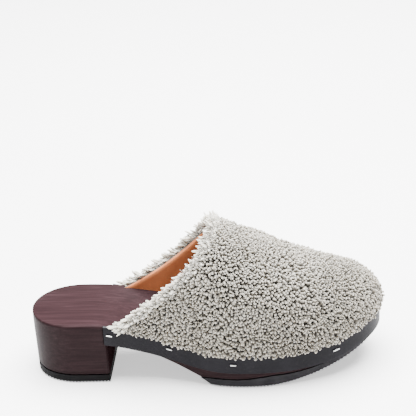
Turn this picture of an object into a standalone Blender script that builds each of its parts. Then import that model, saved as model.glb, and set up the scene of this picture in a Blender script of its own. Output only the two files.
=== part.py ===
"""Shearling clog for the right foot: a one-piece wooden base with a block heel, rubber treads,
a curly shearling upper with a leather lining, and a leather welt strip stapled round its edge.

Metres, +Z up, +X towards the toe, +Y towards the medial side. The origin is the centre of the heel
tread, on the floor. A station is a distance along X from the back of the heel.
Run with: blender --background --python part.py
"""

import math
import random

import bmesh
import bpy
from mathutils import Vector

# Plan of the base, as half widths on the lateral and the medial side
SOLE_LENGTH = 0.248
HEEL_ROUND = 0.034
HEEL_HALF_WIDTH = 0.0325
WAIST_LATERAL = 0.0320
WAIST_MEDIAL = 0.0300
BALL_LATERAL = 0.0430
BALL_MEDIAL = 0.0470
TOE_POINT = 0.010
HEEL_FULLNESS = 2.1
LATERAL_FULLNESS = 2.0
MEDIAL_FULLNESS = 2.6

# Places along the sole, as shares of its length
WAIST_SHARE = 0.34
LATERAL_BALL_SHARE = 0.62
MEDIAL_BALL_SHARE = 0.70
DESCENT_START_SHARE = 0.170
DESCENT_END_SHARE = 0.565
RAMP_START_SHARE = 0.377
TREAD_START_SHARE = 0.490
TREAD_SWELL_SHARE = 0.590
TREAD_FULL_SHARE = 0.700
ROLL_SHARE = 0.670
TOE_RISE_SHARE = 0.725
ARCH_START_SHARE = 0.180
ARCH_PEAK_SHARE = 0.390
ARCH_END_SHARE = 0.660

# Side view of the base
HEEL_HEIGHT = 0.0462
HEEL_LENGTH = 0.0560
HEEL_TAPER = 0.0003
HEEL_TREAD = 0.0062
REAR_TREAD = 0.0062
FULL_TREAD = 0.0083
TOE_TREAD = 0.0042
TREAD_BEVEL = 0.0060
TOE_SPRING = 0.0200
ROLL_POWER = 1.6
SHANK_LIP = 0.0002
BALL_LIP = 0.0035
TOE_LIP = 0.0005
TOE_UNDERCUT = 0.0035
EDGE_ROUND = 0.0022
FOOT_ROUND = 0.0010
CORNER_CUT = 0.0012
SEAT_DISH = 0.0012
ARCH_RISE = 0.0072

# Welt strip and its staples
BAND_START = 0.0538
BAND_HEIGHT = 0.0145
BAND_THICKNESS = 0.0022
BAND_PROUD = 0.0010
BAND_EDGE = 0.0005
STAPLE_LENGTH = 0.0043
STAPLE_WIDTH = 0.0010
STAPLE_THICKNESS = 0.0008

# Staples from the heel to the toe: share of the sole's length, and rise above the middle of the strip
STAPLE_SHARE, STAPLE_RISE = 0, 1
STAPLES = (
    (0.236, 0.0012),
    (0.403, 0.0014),
    (0.584, 0.0000),
    (0.870, -0.0004),
)

# Upper: skin with its leather lining, and the pile on it
WALL = 0.0026
PILE = 0.0062
SKIN_MARGIN = 0.0120
COLLAR_END = 0.0640
COLLAR_TOP = 0.1335
COLLAR_FLARE = 0.85
LATERAL_CURVE = 2.12
MEDIAL_CURVE = 2.28
INSTEP_RISE = 0.0748
TOE_BOX_RISE = 0.0334
TOE_BOX_SHARE = 0.875
CAP_START_SHARE = 0.900
RIDGE_SHIFT = 0.0030
ARCH_FULLNESS = 2.13
CAP_FULLNESS = 2.1
TOE_CROWDING = 1.5

# Locks of the pile
GIRTH_STEPS = 56
LENGTH_STEPS = 44
VALLEY_SHARE = 0.62
PILE_LIFT = 0.0015
PILE_DROP = 0.0045
PILE_SHORT_DROP = 0.0020
COLLAR_PILE_SHARE = 0.45
COLLAR_PILE_ROWS = 4
LIP_THICKNESS = 0.0022
OVERHANG = 0.0050
LOCK_LEAN = 0.0012
FULL_LOCK_WIDTH = 0.030
LOCK_SEED = 7

GAP = 0.0003
WELD = 0.00001

INNER_INSET = BAND_THICKNESS - BAND_PROUD + GAP + WALL
REBATE = INNER_INSET + GAP
BAND_REBATE = BAND_THICKNESS - BAND_PROUD + GAP
ORIGIN_STATION = HEEL_LENGTH / 2
LATERAL, MEDIAL = -1, 1

WOOD = ("dark_stained_wood", (0.060, 0.032, 0.030), 0.45)
RUBBER = ("black_rubber", (0.015, 0.015, 0.016), 0.75)
SHEARLING = ("grey_shearling", (0.56, 0.55, 0.50), 0.95)
LEATHER = ("black_leather", (0.022, 0.021, 0.026), 0.55)
STEEL = ("staple_steel", (0.80, 0.80, 0.78), 0.30)


def mix(low, high, share):
    return low + (high - low) * share


def between(low, high, value):
    """How far value lies from low to high, as a share."""
    return (value - low) / (high - low)


def clamp(share):
    return min(max(share, 0.0), 1.0)


def smooth(share):
    """An S curve from 0 to 1, level at both ends."""
    share = clamp(share)
    return share * share * (3 - 2 * share)


def round_off(share, fullness):
    """A quarter of a superellipse: 1 at share 0, falling to 0 at share 1."""
    return (1 - clamp(share) ** fullness) ** (1 / fullness)


def half_width(station, side, inset):
    """Distance from the X axis to the plan outline, up to the place where the toe starts."""
    waist_width, ball_width, ball_share = {
        LATERAL: (WAIST_LATERAL, BALL_LATERAL, LATERAL_BALL_SHARE),
        MEDIAL: (WAIST_MEDIAL, BALL_MEDIAL, MEDIAL_BALL_SHARE),
    }[side]
    waist = SOLE_LENGTH * WAIST_SHARE
    if station > waist:
        return mix(waist_width, ball_width, smooth(between(waist, SOLE_LENGTH * ball_share, station))) - inset
    if station > HEEL_ROUND:
        return mix(HEEL_HALF_WIDTH, waist_width, smooth(between(HEEL_ROUND, waist, station))) - inset
    return (HEEL_HALF_WIDTH - inset) * round_off(between(HEEL_ROUND, inset, station), HEEL_FULLNESS)


def outline(nominal, side, inset=0.0):
    """Station and Y of the plan outline drawn in by inset all round, for a station of the full outline."""
    turn_start = SOLE_LENGTH * LATERAL_BALL_SHARE
    station = nominal
    if nominal > turn_start:
        station = turn_start + (nominal - turn_start) * between(turn_start, SOLE_LENGTH, SOLE_LENGTH - inset)
    elif nominal < HEEL_ROUND:
        station = HEEL_ROUND - (HEEL_ROUND - nominal) * (1 - inset / HEEL_ROUND)
    toe_start, fullness = {
        LATERAL: (SOLE_LENGTH * LATERAL_BALL_SHARE, LATERAL_FULLNESS),
        MEDIAL: (SOLE_LENGTH * MEDIAL_BALL_SHARE, MEDIAL_FULLNESS),
    }[side]
    y = side * half_width(station, side, inset)
    if station > toe_start:
        turned = round_off(between(toe_start, SOLE_LENGTH - inset, station), fullness)
        y = TOE_POINT + (y - TOE_POINT) * turned
    return station, y


def middle_y(nominal):
    return (outline(nominal, LATERAL)[1] + outline(nominal, MEDIAL)[1]) / 2


def tread_thickness(station):
    swell, full = SOLE_LENGTH * TREAD_SWELL_SHARE, SOLE_LENGTH * TREAD_FULL_SHARE
    if station < full:
        return mix(REAR_TREAD, FULL_TREAD, smooth(between(swell, full, station)))
    return mix(TOE_TREAD, FULL_TREAD, (1 - clamp(between(full, SOLE_LENGTH, station))) ** 2)


def floor_height(station):
    """Height of the forefoot tread's underside, which rolls up towards the toe."""
    roll = between(SOLE_LENGTH * ROLL_SHARE, SOLE_LENGTH, station)
    return TOE_SPRING * max(roll, 0.0) ** ROLL_POWER


def top_height(station):
    """Height of the footbed's edge: level seat, descent through the waist, then toe spring."""
    ball_top = FULL_TREAD + BALL_LIP + BAND_HEIGHT
    toe_top = TOE_SPRING + TOE_TREAD + TOE_LIP + BAND_HEIGHT
    descent = between(SOLE_LENGTH * DESCENT_START_SHARE, SOLE_LENGTH * DESCENT_END_SHARE, station)
    rise = between(SOLE_LENGTH * TOE_RISE_SHARE, SOLE_LENGTH, station)
    return mix(HEEL_HEIGHT, ball_top, smooth(descent)) + (toe_top - ball_top) * max(rise, 0.0) ** 2


def arch_height(station):
    """How far the footbed's medial edge stands above its lateral edge, at the arch of the foot."""
    start, peak, end = (SOLE_LENGTH * share for share in (ARCH_START_SHARE, ARCH_PEAK_SHARE, ARCH_END_SHARE))
    return ARCH_RISE * smooth(between(start, peak, station)) * (1 - smooth(between(peak, end, station)))


def underside_height(station):
    """Height of the wood's underside in front of the heel: thin shank, ramp, then the tread's seat."""
    ramp_start = SOLE_LENGTH * RAMP_START_SHARE
    tread_start = SOLE_LENGTH * TREAD_START_SHARE
    if station >= tread_start:
        return floor_height(station) + tread_thickness(station)
    shank = top_height(min(station, ramp_start)) - BAND_HEIGHT - GAP - SHANK_LIP
    return mix(shank, REAR_TREAD, max(between(ramp_start, tread_start, station), 0.0))


def spread(start, end, count):
    """Stations evenly spaced after start, up to end."""
    return [mix(start, end, step / count) for step in range(1, count + 1)]


def heel_stations(count):
    """Stations round the back of the heel, closer together as the outline turns."""
    return [HEEL_ROUND * (1 - math.cos(math.pi / 2 * step / count)) for step in range(count + 1)]


def toe_stations(count):
    """Stations from the ball to the tip, closer together as the outline turns."""
    ball = SOLE_LENGTH * LATERAL_BALL_SHARE
    return [ball + (SOLE_LENGTH - ball) * math.sin(math.pi / 2 * step / count) for step in range(1, count + 1)]


def point(station, y, z):
    return Vector((station - ORIGIN_STATION, y, z))


def material(name, colour, roughness):
    made = bpy.data.materials.get(name) or bpy.data.materials.new(name)
    made.use_nodes = True
    shader = made.node_tree.nodes["Principled BSDF"]
    shader.inputs["Base Color"].default_value = (*colour, 1.0)
    shader.inputs["Roughness"].default_value = roughness
    return made


def finish_piece(name, bm, look, collection):
    """Welds the mesh, turns its faces outwards and makes the named object."""
    bmesh.ops.remove_doubles(bm, verts=bm.verts, dist=WELD)
    bmesh.ops.recalc_face_normals(bm, faces=bm.faces)
    if bm.calc_volume(signed=True) < 0:
        bmesh.ops.reverse_faces(bm, faces=bm.faces)
    bmesh.ops.triangulate(bm, faces=bm.faces)
    mesh = bpy.data.meshes.new(name)
    bm.to_mesh(mesh)
    bm.free()
    mesh.materials.append(material(*look))
    mesh.shade_smooth()
    mesh.set_sharp_from_angle(angle=math.radians(35))
    piece = bpy.data.objects.new(name, mesh)
    collection.objects.link(piece)
    return piece


def skin_rings(bm, rings, closed=True):
    """Faces between rings of equal length."""
    for ring, after in zip(rings, rings[1:]):
        for step in range(len(ring) if closed else len(ring) - 1):
            turn = (step + 1) % len(ring)
            bm.faces.new((ring[step], ring[turn], after[turn], after[step]))


def loft(name, sections, look, collection, first_cap=True, last_cap=True):
    """Skins closed sections of equal length, and caps the ends that don't close by themselves."""
    bm = bmesh.new()
    rings = [[bm.verts.new(corner) for corner in section] for section in sections]
    skin_rings(bm, rings)
    if first_cap:
        bm.faces.new(rings[0][::-1])
    if last_cap:
        bm.faces.new(rings[-1])
    return finish_piece(name, bm, look, collection)


def both_sides(half):
    """A closed section from its lateral half and its medial half, both from top to bottom."""
    lateral, medial = half(LATERAL), half(MEDIAL)
    return lateral[::-1] + medial[1:-1]


def base_section(nominal, heel, rebate, corner=0.0):
    """One section of the wooden base: dished footbed, rounded edge, rebate, ledge, side and underside."""
    toe = smooth(between(SOLE_LENGTH * LATERAL_BALL_SHARE, SOLE_LENGTH, nominal))
    drawn_in = HEEL_TAPER if heel else TOE_UNDERCUT * toe
    middle = middle_y(nominal)

    def half(side):
        upper_station, upper_y = outline(nominal, side, rebate)
        ledge_station, ledge_y = outline(nominal, side, corner)
        foot_station, foot_y = outline(nominal, side, drawn_in + corner)
        top = top_height(upper_station)
        wall_foot = top - BAND_HEIGHT - GAP
        ledge = top_height(ledge_station) - BAND_HEIGHT - GAP
        bottom = HEEL_TREAD if heel else underside_height(foot_station)
        foot = min(FOOT_ROUND, (ledge - bottom) / 3)
        width = abs(upper_y - middle)
        rim = min(EDGE_ROUND, width)
        dish = min(SEAT_DISH, width / 10)
        arch = arch_height(upper_station) if side == MEDIAL else 0.0
        points = [point(upper_station, middle, top - dish)]
        for share in (0.45, 0.75):
            bowl = dish * (1 - share**2) - arch * share**2
            points.append(point(upper_station, mix(middle, upper_y, share), top - bowl))
        for angle in (0, 30, 60, 90):
            turned = math.radians(angle)
            y = upper_y - side * rim * (1 - math.sin(turned))
            points.append(point(upper_station, y, top + arch - rim * (1 - math.cos(turned))))
        points.append(point(upper_station, upper_y, wall_foot))
        points.append(point(ledge_station, ledge_y, ledge))
        points.append(point(foot_station, foot_y, bottom + foot))
        points.append(point(foot_station, foot_y - side * min(foot, abs(foot_y - middle)), bottom))
        points.append(point(foot_station, mix(middle, foot_y, 0.5), bottom))
        points.append(point(foot_station, middle, bottom))
        return points

    return both_sides(half)


def wooden_base(collection):
    ramp_start = SOLE_LENGTH * RAMP_START_SHARE
    tread_start = SOLE_LENGTH * TREAD_START_SHARE
    breast = HEEL_LENGTH + GAP
    seat = heel_stations(9) + spread(HEEL_ROUND, BAND_START, 4)
    forepart = [nominal_at(0.0, step, LENGTH_STEPS // 2) for step in range(LENGTH_STEPS // 2 + 1)]
    forepart = sorted(forepart + [ramp_start, tread_start])
    sections = [base_section(nominal, True, 0.0) for nominal in seat]
    sections.append(base_section(BAND_START + GAP, True, BAND_REBATE))
    sections.append(base_section(HEEL_LENGTH - CORNER_CUT, True, BAND_REBATE))
    sections.append(base_section(HEEL_LENGTH, True, BAND_REBATE, corner=CORNER_CUT))
    sections.append(base_section(breast, False, BAND_REBATE))
    sections.append(base_section(COLLAR_END - 2 * GAP, False, BAND_REBATE))
    sections.append(base_section(COLLAR_END - GAP, False, REBATE))
    sections += [base_section(nominal, False, REBATE) for nominal in forepart]
    return loft("wooden_base", sections, WOOD, collection, first_cap=False, last_cap=False)


def tread_section(nominal, heel, bevel=0.0):
    """One section of a tread: flat top, sides, rounded lower edge and flat underside."""
    toe = smooth(between(SOLE_LENGTH * LATERAL_BALL_SHARE, SOLE_LENGTH, nominal))
    drawn_in = HEEL_TAPER if heel else TOE_UNDERCUT * toe
    middle = middle_y(nominal)

    def half(side):
        station, y = outline(nominal, side, drawn_in)
        top = (HEEL_TREAD if heel else underside_height(station)) - GAP
        bottom = 0.0 if heel else floor_height(station)
        foot = min(FOOT_ROUND, (top - bottom) / 3)
        return [
            point(station, middle, top),
            point(station, y, top),
            point(station + bevel, y, bottom + foot),
            point(station + bevel, y - side * min(foot, abs(y - middle)), bottom),
            point(station + bevel, middle, bottom),
        ]

    return both_sides(half)


def heel_tread(collection):
    stations = heel_stations(9) + spread(HEEL_ROUND, HEEL_LENGTH, 3)
    sections = [tread_section(nominal, True) for nominal in stations]
    return loft("heel_tread", sections, RUBBER, collection, first_cap=False)


def forefoot_tread(collection):
    start, ball = SOLE_LENGTH * TREAD_START_SHARE, SOLE_LENGTH * LATERAL_BALL_SHARE
    bevel_end = start + 2 * TREAD_BEVEL
    stations = [start] + spread(start, bevel_end, 2) + spread(bevel_end, ball, 5) + toe_stations(18)
    sections = []
    for nominal in stations:
        bevel = TREAD_BEVEL * clamp(1 - between(start, bevel_end, nominal))
        sections.append(tread_section(nominal, False, bevel))
    return loft("forefoot_tread", sections, RUBBER, collection, last_cap=False)


def band_section(nominal, side):
    """One section of the welt strip, with its outer edges eased."""
    def corner(inset, height):
        station, y = outline(nominal, side, inset)
        return point(station, y, top_height(station) + height)

    outer, inner = -BAND_PROUD, BAND_THICKNESS - BAND_PROUD
    return [
        corner(inner, 0.0),
        corner(outer + BAND_EDGE, 0.0),
        corner(outer, -BAND_EDGE),
        corner(outer, BAND_EDGE - BAND_HEIGHT),
        corner(outer + BAND_EDGE, -BAND_HEIGHT),
        corner(inner, -BAND_HEIGHT),
    ]


def welt_band(collection):
    stations = [BAND_START + 2 * GAP, mix(BAND_START, COLLAR_END, 0.5)]
    stations += [nominal_at(0.0, step, LENGTH_STEPS) for step in range(LENGTH_STEPS + 1)]
    sections = [band_section(nominal, LATERAL) for nominal in stations]
    sections += [band_section(nominal, MEDIAL) for nominal in stations[-2::-1]]
    return loft("welt_band", sections, LEATHER, collection)


def staple(name, row, side, collection):
    """A flat wire staple seated just off the welt strip, its ends bent towards the strip."""
    nominal = SOLE_LENGTH * row[STAPLE_SHARE]
    middle = row[STAPLE_RISE] - BAND_HEIGHT / 2

    def spot(shift, out, up):
        station, y = outline(nominal + shift, side, -BAND_PROUD - GAP - out)
        return point(station, y, top_height(station) + middle + up)

    half, width, depth = STAPLE_LENGTH / 2, STAPLE_WIDTH / 2, STAPLE_THICKNESS
    sections = []
    for share, low, high in ((-1.0, 0.0, 0.35), (-0.93, 0.0, 0.8), (-0.8, 0.1, 1.0),
                             (0.8, 0.1, 1.0), (0.93, 0.0, 0.8), (1.0, 0.0, 0.35)):
        shift = half * share
        sections.append([
            spot(shift, depth * low, -width),
            spot(shift, depth * mix(low, high, 0.6), -width),
            spot(shift, depth * high, -width * 0.5),
            spot(shift, depth * high, width * 0.5),
            spot(shift, depth * mix(low, high, 0.6), width),
            spot(shift, depth * low, width),
        ])
    return loft(name, sections, STEEL, collection)


def collar_station(turn):
    """Station of the collar edge at an angle round the upper, from the lateral to the medial side."""
    curve = LATERAL_CURVE if turn < math.pi / 2 else MEDIAL_CURVE
    climbed = clamp(1 - abs(1 - turn / (math.pi / 2)))
    return mix(COLLAR_END, COLLAR_TOP, 1 - (1 - climbed**COLLAR_FLARE) ** curve)


def ridge_rise(nominal):
    """Height of the inside of the upper above the footbed, along its ridge."""
    return mix(TOE_BOX_RISE, INSTEP_RISE, between(SOLE_LENGTH * TOE_BOX_SHARE, COLLAR_TOP, nominal))


def shell_point(turn, nominal, offset, lift=0.0):
    """A point of the upper's inner surface moved outwards by offset."""
    side = LATERAL if turn < math.pi / 2 else MEDIAL
    inset = INNER_INSET - offset
    station, feather_y = outline(nominal, side, inset)
    toe = smooth(between(SOLE_LENGTH * LATERAL_BALL_SHARE, SOLE_LENGTH, nominal))
    ridge_y = middle_y(nominal) + RIDGE_SHIFT * (1 - toe)
    cap = round_off(between(SOLE_LENGTH * CAP_START_SHARE, SOLE_LENGTH - inset, station), CAP_FULLNESS)
    across = abs(math.cos(turn)) ** (2 / ARCH_FULLNESS)
    up = abs(math.sin(turn)) ** (2 / ARCH_FULLNESS)
    rise = (ridge_rise(nominal) + offset - lift) * cap * up
    return point(station, mix(ridge_y, feather_y, across), top_height(station) + lift + rise)


def nominal_at(turn, step, steps):
    """Station of a grid row, spread from the collar edge to the tip and crowded towards the tip."""
    return mix(collar_station(turn), SOLE_LENGTH, 1 - (1 - step / steps) ** TOE_CROWDING)


def skirt_column(side, inset, heights):
    """Points along the feather line at one inset, at heights above the footbed's edge."""
    steps = len(heights) - 1
    turn = 0.0 if side == LATERAL else math.pi
    spots = []
    for step, height in enumerate(heights):
        station, y = outline(nominal_at(turn, step, steps), side, inset)
        spots.append(point(station, y, top_height(station) + height))
    return spots


def backward(turn):
    """Direction out of the collar opening, across the collar edge."""
    return Vector((-1.0, 0.0, 0.25 * math.sin(turn))).normalized()


def pile_grid(turns, dice):
    """Outer surface as rows from the collar to the tip: raised locks in a chequer over lower ones."""
    rows = []
    for step in range(LENGTH_STEPS + 1):
        row = []
        for place, turn in enumerate(turns):
            nominal = nominal_at(turn, step, LENGTH_STEPS)
            width = outline(nominal, MEDIAL)[1] - outline(nominal, LATERAL)[1]
            strength = clamp(width / FULL_LOCK_WIDTH)
            raised = (place + step) % 2 == 0
            height = (1.0 if raised else VALLEY_SHARE) * dice.uniform(0.88, 1.08)
            grown = mix(COLLAR_PILE_SHARE, 1.0, smooth(step / COLLAR_PILE_ROWS))
            spot = shell_point(turn, nominal, WALL + PILE * grown * mix(0.85, height, strength), PILE_LIFT)
            if raised and 0 < step < LENGTH_STEPS:
                spot.x += LOCK_LEAN * strength * dice.uniform(-1, 1)
                spot.z -= LOCK_LEAN * strength * dice.uniform(0, 1)
            if step == 0:
                spot += backward(turn) * OVERHANG * math.sin(turn) * dice.uniform(0.1, 0.6)
            row.append(spot)
        rows.append(row)
    return rows


def collar_rows(turns, dice):
    """Edge of the skin along the collar, and the tips of the locks that hang over it."""
    skin_edge, lock_tips = [], []
    for turn in turns:
        nominal = collar_station(turn)
        skin_edge.append(shell_point(turn, nominal, WALL, PILE_LIFT))
        tip = shell_point(turn, nominal, WALL + PILE * COLLAR_PILE_SHARE / 2, PILE_LIFT)
        lock_tips.append(tip + backward(turn) * OVERHANG * math.sin(turn) * dice.uniform(0.3, 1.2))
    return skin_edge, lock_tips


def stitch(bm, coarse, fine):
    """Faces between an edge and one with twice as many steps."""
    for step in range(len(coarse) - 1):
        bm.faces.new((coarse[step], coarse[step + 1], fine[2 * step + 2], fine[2 * step + 1], fine[2 * step]))


def upper(collection):
    """Hollow upper: lining side, skin margin behind the welt strip, and the pile with its hanging locks."""
    dice = random.Random(LOCK_SEED)
    bm = bmesh.new()
    half_length = LENGTH_STEPS // 2
    turns = [math.pi * place / GIRTH_STEPS for place in range(GIRTH_STEPS + 1)]

    def add(rows):
        return [[bm.verts.new(spot) for spot in row] for row in rows]

    inner = add([
        [shell_point(turn, nominal_at(turn, step, half_length), 0.0) for turn in turns[::2]]
        for step in range(half_length + 1)
    ])
    pile = add(pile_grid(turns, dice))
    skin_edge, lock_tips = add(collar_rows(turns, dice))
    skin_rings(bm, inner, closed=False)
    skin_rings(bm, [skin_edge, lock_tips] + pile, closed=False)
    stitch(bm, inner[0], skin_edge)

    skin_inset, lip_inset = INNER_INSET - WALL, -BAND_PROUD - GAP
    for side, place in ((LATERAL, 0), (MEDIAL, -1)):
        drops = [-mix(PILE_SHORT_DROP, PILE_DROP, dice.random() * (step % 2)) for step in range(LENGTH_STEPS)]
        drops.append(-PILE_SHORT_DROP)
        level = [1.0] * (LENGTH_STEPS + 1)
        margin_in, = add([skirt_column(side, INNER_INSET, [-SKIN_MARGIN] * (half_length + 1))])
        margin_out, skin_top, lip_top, lip_in, lip_out = add([
            skirt_column(side, skin_inset, [-SKIN_MARGIN * one for one in level]),
            skirt_column(side, skin_inset, [GAP * one for one in level]),
            skirt_column(side, lip_inset, [GAP * one for one in level]),
            skirt_column(side, lip_inset, drops),
            skirt_column(side, lip_inset - LIP_THICKNESS, drops),
        ])
        pile_edge = [row[place] for row in pile]
        inner_edge = [row[place] for row in inner]
        skin_rings(bm, [margin_out, skin_top, lip_top, lip_in, lip_out, pile_edge], closed=False)
        skin_rings(bm, [margin_in, inner_edge], closed=False)
        stitch(bm, margin_in, margin_out)
        bm.faces.new((margin_in[0], inner_edge[0], skin_edge[place], lock_tips[place], pile_edge[0],
                      lip_out[0], lip_in[0], lip_top[0], skin_top[0], margin_out[0]))
    return finish_piece("upper", bm, SHEARLING, collection)


def main():
    for old in list(bpy.data.objects):
        bpy.data.objects.remove(old)
    collection = bpy.data.collections.new("shearling_clog")
    bpy.context.scene.collection.children.link(collection)
    wooden_base(collection)
    heel_tread(collection)
    forefoot_tread(collection)
    upper(collection)
    welt_band(collection)
    for side, word in ((LATERAL, "lateral"), (MEDIAL, "medial")):
        for number, row in enumerate(STAPLES, start=1):
            staple(f"staple_{word}_{number}", row, side, collection)


main()
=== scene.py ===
"""Looks of the shearling clog: curly wool in separate tufts, leather lining, stained wood, rubber treads,
a leather welt strip and its staples. Metres, +Z up, +X towards the toe, -Y the outer side.
"""

import math

import bmesh
import bpy
import numpy as np
from mathutils import Matrix, Vector, noise


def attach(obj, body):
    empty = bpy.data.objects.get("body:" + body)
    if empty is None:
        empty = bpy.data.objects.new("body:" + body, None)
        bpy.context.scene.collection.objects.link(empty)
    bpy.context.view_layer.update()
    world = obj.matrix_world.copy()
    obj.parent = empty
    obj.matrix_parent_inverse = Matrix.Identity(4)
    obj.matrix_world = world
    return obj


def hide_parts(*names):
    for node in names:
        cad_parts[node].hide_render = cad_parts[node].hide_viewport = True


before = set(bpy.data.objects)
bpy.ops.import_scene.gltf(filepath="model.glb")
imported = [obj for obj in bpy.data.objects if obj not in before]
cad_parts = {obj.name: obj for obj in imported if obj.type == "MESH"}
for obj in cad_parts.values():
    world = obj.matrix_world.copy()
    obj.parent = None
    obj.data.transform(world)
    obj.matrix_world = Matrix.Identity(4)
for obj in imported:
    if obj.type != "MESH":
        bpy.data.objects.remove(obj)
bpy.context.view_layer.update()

# Plan of the base, as half widths on the lateral and the medial side
SOLE_LENGTH = 0.248
HEEL_ROUND = 0.034
HEEL_HALF_WIDTH = 0.0325
WAIST_LATERAL, WAIST_MEDIAL = 0.0320, 0.0300
BALL_LATERAL, BALL_MEDIAL = 0.0430, 0.0470
TOE_POINT = 0.010
HEEL_FULLNESS, LATERAL_FULLNESS, MEDIAL_FULLNESS = 2.1, 2.0, 2.6
WAIST_SHARE, LATERAL_BALL_SHARE, MEDIAL_BALL_SHARE = 0.34, 0.62, 0.70

# Side view of the base
HEEL_HEIGHT, HEEL_LENGTH = 0.0462, 0.0560
DESCENT_START_SHARE, DESCENT_END_SHARE, TOE_RISE_SHARE = 0.170, 0.565, 0.725
RAMP_START_SHARE, TREAD_START_SHARE, TREAD_SWELL_SHARE, TREAD_FULL_SHARE = 0.377, 0.490, 0.590, 0.700
ROLL_SHARE, ROLL_POWER = 0.670, 1.6
ARCH_START_SHARE, ARCH_PEAK_SHARE, ARCH_END_SHARE, ARCH_RISE = 0.180, 0.390, 0.660, 0.0072
HEEL_TREAD, REAR_TREAD, FULL_TREAD, TOE_TREAD, TOE_SPRING = 0.0062, 0.0062, 0.0083, 0.0042, 0.0200
TREAD_BEVEL, HEEL_TAPER, TOE_UNDERCUT = 0.0060, 0.0003, 0.0035
SHANK_LIP, BALL_LIP, TOE_LIP = 0.0002, 0.0035, 0.0005
EDGE_ROUND, FOOT_ROUND, CORNER_CUT, SEAT_DISH = 0.0022, 0.0010, 0.0012, 0.0012
BAND_START, BAND_HEIGHT, BAND_THICKNESS, BAND_PROUD, BAND_EDGE = 0.0538, 0.0145, 0.0022, 0.0010, 0.0005
GAP = 0.0003

# Ribs under the treads
RIB_PITCH, RIB_DEPTH, RIB_SHARE, RIB_SLOPE = 0.0024, 0.0008, 0.50, 0.10

# Upper: leather wall with the wool on it
WALL, SKIN_MARGIN = 0.0026, 0.0120
COLLAR_END, COLLAR_TOP = 0.0640, 0.1335
COLLAR_FLARE, LATERAL_CURVE, MEDIAL_CURVE = 0.85, 2.12, 2.28
INSTEP_RISE, TOE_BOX_RISE, TOE_BOX_SHARE = 0.0748, 0.0334, 0.875
CAP_START_SHARE, CAP_FULLNESS, ARCH_FULLNESS = 0.900, 2.1, 2.13
RIDGE_SHIFT, TOE_CROWDING = 0.0030, 1.5
INNER_INSET = BAND_THICKNESS - BAND_PROUD + GAP + WALL
REBATE = INNER_INSET + GAP
BAND_REBATE = BAND_THICKNESS - BAND_PROUD + GAP
ORIGIN_STATION = HEEL_LENGTH / 2
LATERAL, MEDIAL = -1.0, 1.0
WELD, SHARP_ANGLE = 0.00001, 38

# Tufts of the wool
SEED = 11
TUFT_SPACING = 0.00132
TUFT_RADIUS = 0.00092
TUFT_LENGTH = 0.0040
ROOT_OFFSET = WALL + 0.0024
RIM_OFFSET = 0.0016
RIM_BULGE = 0.0008
RIM_STEPS = 5
TUFT_SIDES = 5
TRY_COUNT = 120000
FRINGE_SPACING = 0.0018

# Rows of the fringe: how far from the collar edge, pull towards the heel and lift off the skin
FRINGE_ROWS = (
    (0.0000, 1.00, 0.25),
    (0.0004, 1.00, 0.50),
    (0.0010, 0.90, 0.70),
    (0.0018, 0.80, 0.90),
    (0.0030, 0.60, 1.10),
)
FRINGE_RADIUS = 0.00098
FRINGE_LENGTH = 0.0058
HAIR_COUNT, HAIR_RADIUS, HAIR_LENGTH = 1400, 0.00013, 0.0052

# Camera fitted to the photograph's view of the shoe
VIEW_AZIMUTH, VIEW_ELEVATION, VIEW_ROLL = 4.75, 28.87, -3.5
VIEW_TARGET, VIEW_DISTANCE = Vector((0.095, 0.0, 0.04)), 1.0
SENSOR, LENS, SHIFT_X, SHIFT_Y = 36.0, 120.8, 0.0106, 0.2431


def mix(low, high, share):
    return low + (high - low) * share


def between(low, high, value):
    """How far value lies from low to high, as a share."""
    return (value - low) / (high - low)


def smooth(share):
    share = np.clip(share, 0.0, 1.0)
    return share * share * (3 - 2 * share)


def round_off(share, fullness):
    """A quarter of a superellipse: 1 at share 0, falling to 0 at share 1."""
    return (1 - np.clip(share, 0.0, 1.0) ** fullness) ** (1 / fullness)


def half_width(station, widths, inset):
    """Distance from the X axis to the plan outline, up to the place where the toe starts."""
    waist_width, ball_width, ball_share = widths
    waist = SOLE_LENGTH * WAIST_SHARE
    fore = mix(waist_width, ball_width, smooth(between(waist, SOLE_LENGTH * ball_share, station)))
    rear = mix(HEEL_HALF_WIDTH, waist_width, smooth(between(HEEL_ROUND, waist, station)))
    heel = round_off(between(HEEL_ROUND, inset, station), HEEL_FULLNESS)
    body = np.where(station > waist, fore, rear) - inset
    return np.where(station > HEEL_ROUND, body, (HEEL_HALF_WIDTH - inset) * heel)


def one_side(nominal, side, inset):
    turn_start = SOLE_LENGTH * LATERAL_BALL_SHARE
    drawn = turn_start + (nominal - turn_start) * between(turn_start, SOLE_LENGTH, SOLE_LENGTH - inset)
    heel = HEEL_ROUND - (HEEL_ROUND - nominal) * (1 - inset / HEEL_ROUND)
    station = np.where(nominal > turn_start, drawn, np.where(nominal < HEEL_ROUND, heel, nominal))
    if side == LATERAL:
        widths = (WAIST_LATERAL, BALL_LATERAL, LATERAL_BALL_SHARE)
        share, fullness = LATERAL_BALL_SHARE, LATERAL_FULLNESS
    else:
        widths = (WAIST_MEDIAL, BALL_MEDIAL, MEDIAL_BALL_SHARE)
        share, fullness = MEDIAL_BALL_SHARE, MEDIAL_FULLNESS
    toe_start = SOLE_LENGTH * share
    y = side * half_width(station, widths, inset)
    turned = round_off(between(toe_start, SOLE_LENGTH - inset, station), fullness)
    return station, np.where(station > toe_start, TOE_POINT + (y - TOE_POINT) * turned, y)


def outline(nominal, side, inset=0.0):
    """Station and Y of the plan outline drawn in by inset, for arrays of nominal stations and sides."""
    nominal, side, inset = np.broadcast_arrays(*(np.asarray(v, float) for v in (nominal, side, inset)))
    station, lateral_y = one_side(nominal, LATERAL, inset)
    medial_y = one_side(nominal, MEDIAL, inset)[1]
    return station, np.where(side < 0, lateral_y, medial_y)


def middle_y(nominal):
    return (outline(nominal, LATERAL)[1] + outline(nominal, MEDIAL)[1]) / 2


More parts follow.
